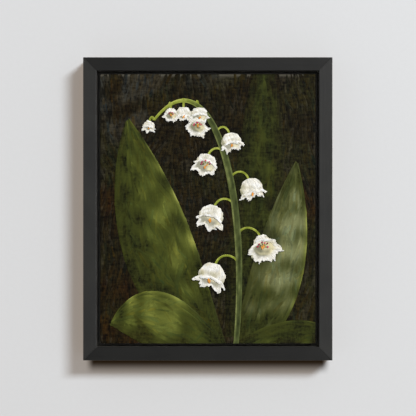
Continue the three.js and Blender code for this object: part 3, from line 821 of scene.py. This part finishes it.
def lobe_strokes(bell, seed):
    """Dabs of white on the inner faces of the lobes of an open flower, from the hollow out to the rim."""
    rng = np.random.default_rng(seed)
    count = 90
    h0, a0 = rng.uniform(0.80, 1.0, count), rng.uniform(0, 2 * np.pi, count)
    s = np.linspace(-0.5, 0.5, STROKE_STEPS)
    h = np.clip(h0[:, None] + 0.16 * s, 0.6, 1.0)
    a = a0[:, None] + 0.12 * s * rng.standard_normal((count, 1))
    x, z, lift = bell.at(h, a, BELL_WALL)
    facing = bell.normal(h0, a0, BELL_WALL)[:, 1] < -0.15
    colour = varied(bell.colour(h, a, True), rng, 0.05, 0.02)
    path = np.stack([x, z, lift + (rng.uniform(0.02, 0.06, count) * MM)[:, None]], -1)
    return path[facing], (rng.uniform(0.5, 1.1, count) * MM)[facing], colour[facing], 0.09 * MM, seed


def flick_strokes(bell, seed):
    """Short wisps of white that the brush leaves past the tips of the lobes, turned a little to one side."""
    rng = np.random.default_rng(seed)
    tips = np.arange(6) * np.pi / 3 - bell.turn + 0.12 * rng.standard_normal(6)
    tip_x, tip_z, lift = bell.at(np.ones(6), tips)
    tip = np.stack([tip_x, tip_z], -1)
    outward = unit(tip - bell.middle)
    sideways = np.stack([-outward[:, 1], outward[:, 0]], -1) * 0.7 * rng.standard_normal((6, 1))
    reach = rng.uniform(1.0, 2.2, 6)[:, None, None] * MM
    s = np.linspace(-0.7, 0.7, STROKE_STEPS)[None, :, None]
    place = tip[:, None] + reach * (s * outward[:, None] + (s + 0.7) ** 2 * 0.5 * sideways[:, None])
    path = np.concatenate([place, np.broadcast_to(lift[:, None, None], (*place.shape[:2], 1))], -1)
    colour = varied(np.broadcast_to(level(222, 221, 212), path.shape), rng, 0.08, 0.02)
    return path, rng.uniform(0.35, 0.75, 6) * MM, colour, 0.06 * MM, seed


def stamen_strokes(bell, seed):
    """Olive threads in an arc over the hollow, and a dab of crimson, the anther, at the end of each."""
    rng = np.random.default_rng(seed)
    count = 6
    angle = np.linspace(0.15, np.pi - 0.15, count) + 0.18 * rng.standard_normal(count)
    reach = bell.width * (0.12 + 0.04 * rng.random(count))
    hub = bell.middle + bell.width * 0.08 * bell.out[[0, 2]]
    s = np.linspace(0, 1, STROKE_STEPS)
    lift = BELL_LIFT + 1.2 * BELL_RELIEF + 0.02 * MM * np.arange(count)[:, None]
    paths, colours = [], []
    for start, end, pigment in ((0.3, 0.95, THREAD), (0.85, 1.25, CRIMSON)):
        out = reach[:, None] * (start + (end - start) * s)
        x = hub[0] + out * np.cos(angle)[:, None] * 1.15
        z = hub[1] + out * np.sin(angle)[:, None]
        paths.append(np.stack(np.broadcast_arrays(x, z, lift), -1))
        colours.append(varied(np.broadcast_to(pigment, (*x.shape, 3)), rng, 0.2, 0.05))
        lift = lift + 0.06 * MM
    half = np.concatenate([rng.uniform(0.25, 0.4, count), rng.uniform(0.55, 0.8, count)]) * MM
    return np.concatenate(paths), half, np.concatenate(colours), 0.08 * MM, seed


def pistil_strokes(bell, seed):
    """A few gold dabs in the middle of the mouth."""
    rng = np.random.default_rng(seed)
    count = 3
    hub = bell.middle + bell.width * (0.22 - 0.14 * bell.open) * bell.out[[0, 2]]
    s = np.linspace(-0.5, 0.5, STROKE_STEPS)
    angle = -np.pi / 2 + 0.5 * rng.standard_normal(count)
    shift = bell.width * 0.03 * rng.standard_normal((2, count))
    x = hub[0] + shift[0][:, None] + bell.width * 0.12 * s * np.cos(angle)[:, None]
    z = hub[1] + shift[1][:, None] + bell.width * 0.12 * s * np.sin(angle)[:, None]
    lift = np.full(x.shape, BELL_LIFT + 1.3 * BELL_RELIEF)
    colour = varied(np.broadcast_to(GOLD, (*x.shape, 3)), rng, 0.12, 0.05)
    return np.stack([x, z, lift], -1), np.full(count, 0.6 * MM), colour, 0.08 * MM, seed


# ---- Painted pieces ----------------------------------------------------------------------------


def ground_piece(finish):
    """The painted ground: over the front, round its edges and part way down the sides."""
    inset, depth, radius = edge_profile(1.1 * MM, 17 * MM, 0)
    points, flat = wrapped_sheet(HALF_W + 0.05 * MM, HALF_H + 0.05 * MM, inset, depth, radius, 150, 190)
    x, d, z = points[..., 0], points[..., 1], points[..., 2]
    swell = 0.02 * MM * (1 + ripple(x, z, 7 * MM, 21)) * smooth(0.8 * MM, 0, d)
    places = np.stack([x, PAINT_Y + 0.1 * MM + d - swell, z + MIDDLE_Z], -1)
    colours = ground_colour(x, z) * (1 + 0.15 * ripple(x, z, 5 * MM, 22))[..., None]
    # Paler round the edge, cloth showing through thin paint; far paler along the top: a painted highlight.
    worn_and_lit = spot(d - 0.4 * MM, 0.5 * MM) * (0.12 + 0.7 * smooth(0.97 * HALF_H, HALF_H, z))
    colours = blend(colours, WORN_AND_LIT_EDGE, worn_and_lit)
    rows, columns = x.shape
    reach = np.abs(flat).reshape(-1, 2).max(0)
    maps = {"OFBake": flat / (2 * reach) + 0.5, "stroke": flat}
    piece = mesh_piece("paint_ground", places, grid_faces(rows, columns), finish, colours, maps)
    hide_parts("paint_film")
    return piece


def leaf_surface(leaf, index, rows=90, columns=27):
    """A blade as a low dome between its edges, its rims sunk into the ground, cut at the canvas's edge."""
    turn = np.linspace(-np.pi / 2, np.pi / 2, columns)[None, :]
    s, t = np.broadcast_arrays(np.linspace(0, 1, rows)[:, None], 0.5 + 0.5 * np.sin(turn))
    place = leaf.at(s, t)
    x, z = place[..., 0], place[..., 1]
    rim = np.minimum(1, np.minimum(t, 1 - t) / 0.015) * np.minimum(1, (1 - s) / 0.02)
    lift = (LEAF_LIFT + LAYER * index + LEAF_DOME * (1 - (2 * t - 1) ** 4)) * rim - 0.12 * MM * (1 - rim)
    colours = leaf.colour(s, t, x, z)
    inside = inside_picture(x, z, 0.2 * MM).ravel()
    faces = grid_faces(rows, columns)
    faces = faces[inside[faces].any(1)]
    x, z = np.clip(x, -HALF_W, HALF_W), np.clip(z, -HALF_H, HALF_H)
    brush = np.stack([s * leaf.length, t * leaf.half * 2 + leaf.seed], -1)
    return placed(x, z, lift).reshape(-1, 3), faces[:, ::-1], colours.reshape(-1, 3), brush.reshape(-1, 2)


def joined(name, finish, parts):
    """One piece from several (points, faces, colours, brush map), on the picture's flat map, with no loose
    points."""
    points, faces, colours, brush = [], [], [], []
    start = 0
    for p, f, c, b in parts:
        used = np.zeros(len(p), bool)
        used[f.ravel()] = True
        renumbered = np.cumsum(used) - 1
        points.append(p[used])
        faces.append(renumbered[f] + start)
        colours.append(c[used])
        brush.append(b[used])
        start += used.sum()
    points, colours, brush = (np.concatenate(x) for x in (points, colours, brush))
    flat = picture_map(points[:, 0], points[:, 2] - MIDDLE_Z)
    maps = {"OFBake": flat, "stroke": brush}
    return mesh_piece(name, points, np.concatenate(faces), finish, colours, maps)


def stalk_surface(path, radius, young, lift, seed, around=9):
    """A stalk as half a tube: across it the lift follows a half circle, flattened. Its light comes from the
    upper left, and its green is the stem's, turned yellow by the share young along it."""
    steps = len(path)
    ahead = unit(np.gradient(path, axis=0))
    normal = np.stack([-ahead[:, 1], ahead[:, 0]], -1)
    angle = np.linspace(-np.pi / 2, np.pi / 2, around)
    across = np.sin(angle)[None, :] * radius[:, None]
    place = path[:, None, :] + normal[:, None, :] * across[..., None]
    x, z = place[..., 0], place[..., 1]
    rise = np.cos(angle)[None, :] * radius[:, None] * 0.09
    height = lift + rise - np.where(np.abs(across) >= radius[:, None] * 0.999, lift, 0)
    facing = (normal @ unit(np.array([-0.75, 0.65])))[:, None] * np.sin(angle)[None, :]
    streak = ripple(across, 0.04 * z, 1.6 * MM, seed + 60)
    value = 0.34 + 0.24 * facing + 0.09 * ripple(x, z, 6 * MM, seed) + 0.09 * streak
    fresh = np.broadcast_to(young[:, None], x.shape)
    rims = spot(np.abs(np.sin(angle)) - 0.85, 0.16)[None, :]
    value = value + (0.44 - 0.2 * fresh) * rims + 0.2 * fresh
    colours = blend(ramp(STEM_STOPS, value), ramp(PEDICEL_STOPS, value), fresh)
    inside = inside_picture(x, z, 0.2 * MM).ravel()
    faces = grid_faces(steps, around)
    faces = faces[inside[faces].any(1)]
    brush = np.stack(np.broadcast_arrays((np.arange(steps) * MM)[:, None], across + seed), -1)
    x, z = np.clip(x, -HALF_W, HALF_W), np.clip(z, -HALF_H, HALF_H)
    return placed(x, z, height).reshape(-1, 3), faces[:, ::-1], colours.reshape(-1, 3), brush.reshape(-1, 2)


def pedicel_path(bell, s):
    """A stalk: from the stem, up beside it, over in an arch, and into the crown against the mouth's way."""
    start, end = bezier(STEM, bell.start), bell.crown
    climb = bell.climb * bell.width
    rise = np.array([0.2 * (end - start)[0], 1.2 * climb])
    return bezier([start, start + rise, end - 1.5 * climb * unit(bell.out[[0, 2]]), end], s)


def bell_surface(bell, rows=30, around=96):
    """Outer wall from crown to rim, then the inner wall back up to near the crown, closed at both poles."""
    a = np.linspace(0, 2 * np.pi, around, endpoint=False)[None, :]
    down = np.linspace(0.012, 1, rows)[:, None]
    up = np.linspace(1, 0.05, rows - 6)[:, None]
    outer_h, inner_h = np.broadcast_arrays(down, a)[0], np.broadcast_arrays(up, a)[0]
    outer_a, inner_a = np.broadcast_arrays(a, down)[0], np.broadcast_arrays(a, up)[0]
    parts = [bell.at(outer_h, outer_a), bell.at(inner_h, inner_a, BELL_WALL)]
    x, z, lift = (np.concatenate([p[i] for p in parts]) for i in range(3))
    colours = np.concatenate([bell.colour(outer_h, outer_a, False), bell.colour(inner_h, inner_a, True)])
    total = len(x)
    along = np.concatenate([outer_h, inner_h + 2]) * bell.width
    about = np.concatenate([outer_a, inner_a]) * 0.35 * bell.width
    brush = np.stack([along, about], -1)
    faces = grid_faces(total, around, closed=True)
    points = placed(x, z, lift).reshape(-1, 3)
    poles = np.array([points[:around].mean(0), points[-around:].mean(0)])
    ring = np.arange(around)
    after = (ring + 1) % around
    pole = np.full(around, total * around)
    crown = np.stack([after, ring, pole], -1)
    last = (total - 1) * around
    throat = np.stack([last + ring, last + after, pole + 1], -1)
    points = np.concatenate([points, poles])
    ends = [colours[0].mean(0), colours[-1].mean(0)]
    colours = np.concatenate([colours.reshape(-1, 3), ends])
    brush = np.concatenate([brush.reshape(-1, 2), np.zeros((2, 2))])
    return points, faces, np.concatenate([crown, throat]), colours, brush


def bells_piece(finish):
    points, faces, colours, brush, start = [], [], [], [], 0
    for bell in BELLS:
        p, quads, ends, c, b = bell_surface(bell)
        points.append(p)
        faces += (quads + start).tolist() + (ends + start).tolist()
        colours.append(c)
        brush.append(b)
        start += len(p)
    points, colours, brush = (np.concatenate(x) for x in (points, colours, brush))
    return mesh_piece("paint_bells", points, faces, finish, colours, {"stroke": brush})


def painted_picture():
    finish = paint_finish()
    ground_piece(finish)
    stroke_piece("ground_strokes", finish, [ground_strokes(3400, 101)])
    joined("painted_leaves", finish, [leaf_surface(leaf, i) for i, leaf in enumerate(LEAVES)])
    stroke_piece("leaf_strokes", finish, [leaf_strokes(leaf, i, 200 + i) for i, leaf in enumerate(LEAVES)])
    s = np.linspace(0, 1, 120)
    thick = np.interp(s, [0, 0.35, 0.6, 0.85, 1], [2.6 * MM, 3.5 * MM, 3.2 * MM, 1.9 * MM, 1.1 * MM])
    stalks = [stalk_surface(bezier(STEM, s), thick, smooth(0.7, 0.9, s), STEM_LIFT, 31)]
    s = np.linspace(0, 1, 40)
    thick = np.interp(s, [0, 0.2, 1], [1.4 * MM, 1.0 * MM, 1.05 * MM])
    for i, bell in enumerate(BELLS):
        stalks.append(stalk_surface(pedicel_path(bell, s), thick, 0 * s + 1, STEM_LIFT + 0.05 * MM, 40 + i))
    joined("painted_stems", finish, stalks)
    bells_piece(finish)
    batches = [flick_strokes(bell, 300 + i) for i, bell in enumerate(BELLS)]
    batches += [bell_strokes(bell, 230, 400 + i) for i, bell in enumerate(BELLS)]
    batches += [lobe_strokes(bell, 700 + i) for i, bell in enumerate(BELLS)]
    batches += [stamen_strokes(bell, 500 + i) for i, bell in enumerate(BELLS) if bell.open]
    batches += [pistil_strokes(bell, 600 + i) for i, bell in enumerate(BELLS)]
    stroke_piece("bell_strokes", finish, batches)


# ---- The frame's own nodes ---------------------------------------------------------------------


def finish_nodes():
    """Gives every shown node of the frame its finish by its name."""
    # The uprights' black is painted lighter and the level rails' darker: painted light and shade, as the light
    # falls more from the side.
    upright = frame_finish("black_rail_upright_lit", 2, 1.2, 34)
    level_rail_shaded = frame_finish("black_rail_level_shaded", 0, 0.5, 14)
    zinc = metal_finish("zinc_plate", (196, 198, 202), 0.3)
    wire = metal_finish("staple_wire", (176, 178, 182), 0.34)
    finishes = {
        "frame_rail_left": upright,
        "frame_rail_right": upright,
        "frame_rail_top": level_rail_shaded,
        "frame_rail_bottom": level_rail_shaded,
        "corner_nail": zinc,
        "canvas_screw": zinc,
        "hanger_nail": zinc,
        "sawtooth_hanger": zinc,
        "canvas_staple": wire,
        "wall_bumper": felt_finish(),
    }
    for i, side in enumerate(("left", "right", "top", "bottom")):
        along = 2 if i < 2 else 0
        pine = wood_finish(f"pine_{side}", along, (222, 190, 138), (190, 148, 92), i)
        finishes[f"stretcher_bar_{side}"] = pine
    key = wood_finish("key_wood", 2, (226, 200, 152), (200, 166, 116), 9)
    for name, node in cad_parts.items():
        match = [f for start, f in finishes.items() if name.startswith(start)]
        material = match[0] if match else key
        node.data.materials.clear()
        node.data.materials.append(material)


# ---- Stage, lights and camera ------------------------------------------------------------------

WALL_PAINT = np.array([0.52, 0.573, 0.62])
WALL_GLOW = np.array([0.186, 0.135, 0.092])
CONTACT_SHADOW = level(36, 26, 15)
PICTURE_MIDDLE = Vector((0, rails_low.y, (rails_low.z + rails_high.z) / 2))


def plane(name, corners, finish):
    mesh = bpy.data.meshes.new(name)
    mesh.from_pydata(corners, [], [(0, 1, 2, 3)])
    mesh.materials.append(finish)
    made = bpy.data.objects.new(name, mesh)
    bpy.context.scene.collection.objects.link(made)
    return made


def stage():
    """A pale wall that is seen only from the front, and a pale floor below.

    The wall glows a little with a warm light of its own, so that shadows on it stay warm and soft, and it is
    painted dark behind the frame and close under it, where the frame nearly touches it: a painted contact
    shadow.
    """
    f = Finish("pale_wall", roughness=0.9, specular=0.0)
    place = f.place()
    roller = f.noise(place, 260, 3)
    height = f.part(place, 2)
    below = height.step(rails_low.z - 17.5 * MM, rails_low.z - 4 * MM)
    above = height.step(rails_high.z - 12 * MM, rails_high.z - 3 * MM)
    beside = f.size(f.part(place, 0)).step(rails_high.x - 8 * MM, rails_high.x + 1 * MM)
    # A painted contact shadow behind the frame and close under it.
    painted_contact_shadow = below * (1 - above) * (1 - beside)
    paint = f.scaled(WALL_PAINT, (0.98 + roller * 0.04) * (1 - painted_contact_shadow))
    f.feed(f.shader.inputs["Emission Color"], f.mix(painted_contact_shadow, WALL_GLOW, CONTACT_SHADOW))
    f.shader.inputs["Emission Strength"].default_value = 1
    f.set(paint, normal=f.bump(roller, 0.05 * MM))
    f.material.cycles.emission_sampling = "NONE"
    clear = f.node("BsdfTransparent")
    behind = f.node("NewGeometry", output="Backfacing")
    seen = f.node("MixShader", inputs={0: behind, 1: Socket(f, f.shader.outputs[0]), 2: clear})
    f.tree.links.new(seen.output, f.tree.nodes["Material Output"].inputs["Surface"])
    width, bottom, top = 3.0, -1.1, 1.9
    corners = [(-width, 0, bottom), (width, 0, bottom), (width, 0, top), (-width, 0, top)]
    wall = plane("wall", corners, f.material)
    wall.visible_shadow = False
    wall.visible_diffuse = False
    wall.visible_glossy = False
    g = Finish("pale_floor", roughness=0.8, specular=0.2)
    g.set(g.mix(g.noise(g.place(), 40, 3), level(198, 197, 195), level(206, 205, 203)))
    ground = [(-width, -4, bottom), (width, -4, bottom), (width, 3, bottom), (-width, 3, bottom)]
    floor = plane("floor", ground, g.material)
    floor.visible_diffuse = False


def area_light(name, towards, distance, size, power, colour):
    """A soft oval light of that size (across, up), seen from the picture in that direction."""
    data = bpy.data.lights.new(name, "AREA")
    data.shape = "ELLIPSE"
    data.size, data.size_y = size
    data.energy = power
    data.color = colour
    made = bpy.data.objects.new(name, data)
    direction = Vector(towards).normalized()
    made.location = PICTURE_MIDDLE + direction * distance
    made.rotation_mode = "QUATERNION"
    made.rotation_quaternion = direction.to_track_quat("Z", "Y")
    bpy.context.scene.collection.objects.link(made)
    return made


def lights():
    """A soft key from the upper right in front, a tall strip at the right that only shines on gloss, a soft
    light from behind, and an even room: one level for its light, one in gloss, one to the eye."""
    area_light("key", (0.53, -1, 0.53), 4.4, (1.5, 0.8), 172, (1.0, 1.0, 1.0))
    strip = area_light("strip", (0.62, -1, 0.0), 2.0, (0.3, 1.6), 16, (1.0, 1.0, 1.0))
    strip.visible_diffuse = False
    back = area_light("back", (-0.7, 1.0, 0.6), 2.0, (1.0, 1.0), 40, (1.0, 0.98, 0.95))
    back.visible_glossy = False
    world = bpy.data.worlds.new("room")
    bpy.context.scene.world = world
    world.use_nodes = True
    nodes, links = world.node_tree.nodes, world.node_tree.links
    rays, surface = nodes.new("ShaderNodeLightPath"), nodes["Background"]
    surface.inputs["Color"].default_value = (0.34, 0.34, 0.34, 1)
    for ray, grey in (("Is Glossy Ray", 0.46), ("Is Camera Ray", 0.72)):
        room, mix = nodes.new("ShaderNodeBackground"), nodes.new("ShaderNodeMixShader")
        room.inputs["Color"].default_value = (grey, grey, grey, 1)
        links.new(rays.outputs[ray], mix.inputs[0])
        links.new(surface.outputs[0], mix.inputs[1])
        links.new(room.outputs[0], mix.inputs[2])
        surface = mix
    links.new(surface.outputs[0], nodes["World Output"].inputs["Surface"])


def camera():
    """Straight on from in front, with a long lens."""
    distance, seen_width = 1.5, 0.392  # metres, of the wall seen across the view
    data = bpy.data.cameras.new("camera")
    data.sensor_width = 36
    data.lens = data.sensor_width * distance / seen_width
    made = bpy.data.objects.new("camera", data)
    aside, raised = 0.2 * MM, 0.8 * MM
    made.location = PICTURE_MIDDLE + Vector((aside, -distance, raised))
    made.rotation_euler = (np.pi / 2, 0, 0)
    bpy.context.scene.collection.objects.link(made)
    bpy.context.scene.camera = made


camera()
canvas_sheet(cloth_finish())
painted_picture()
finish_nodes()
stage()
lights()
bpy.context.scene.view_settings.view_transform = "Standard"
